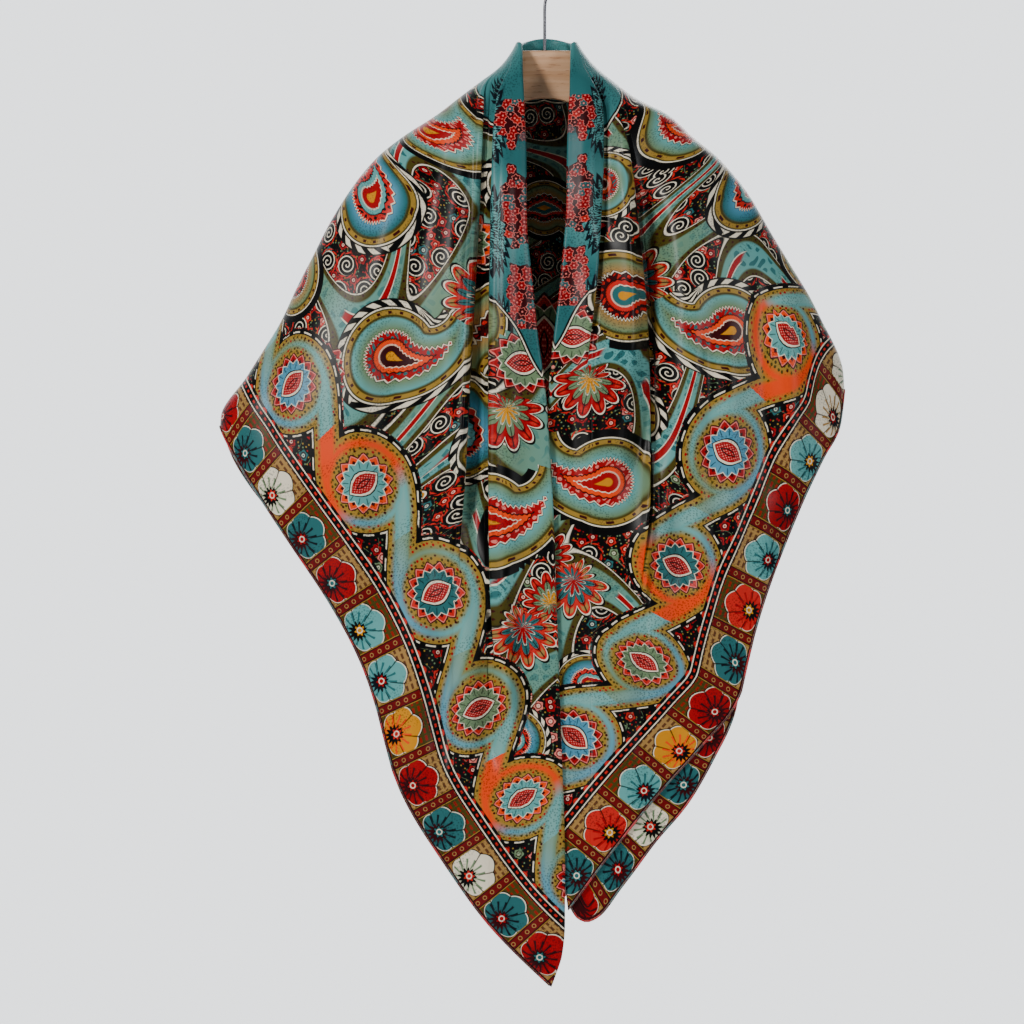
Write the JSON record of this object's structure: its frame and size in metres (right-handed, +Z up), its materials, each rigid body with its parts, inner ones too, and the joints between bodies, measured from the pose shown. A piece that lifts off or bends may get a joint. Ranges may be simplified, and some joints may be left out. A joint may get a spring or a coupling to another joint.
{
  "type": "silk square scarf draped as a shawl on a wooden hanger",
  "caption": "Large printed silk square folded to a triangle and draped as a shawl, with two falls meeting in front, on a plain wooden hanger with a wire hook.",
  "frame": {"origin": "inside top of the hanger's hook, where it hangs on a rail", "axes": "+Z up along the hook's stem, -Y towards the viewer of the front, +X to that viewer's right"},
  "size_m": [0.5846, 0.1632, 0.9639],
  "materials": {
    "silk": "satin silk twill with a teal, ochre, red and black print",
    "beech": "satin clear lacquer",
    "steel": "dark satin"
  },
  "bodies": {
    "root": {"front_left": "silk", "front_right": "silk", "under_right": "silk", "back": "silk", "neck_fold": "silk", "hanger_wood": "beech", "hanger_hook": "steel"}
  },
  "joints": []
}
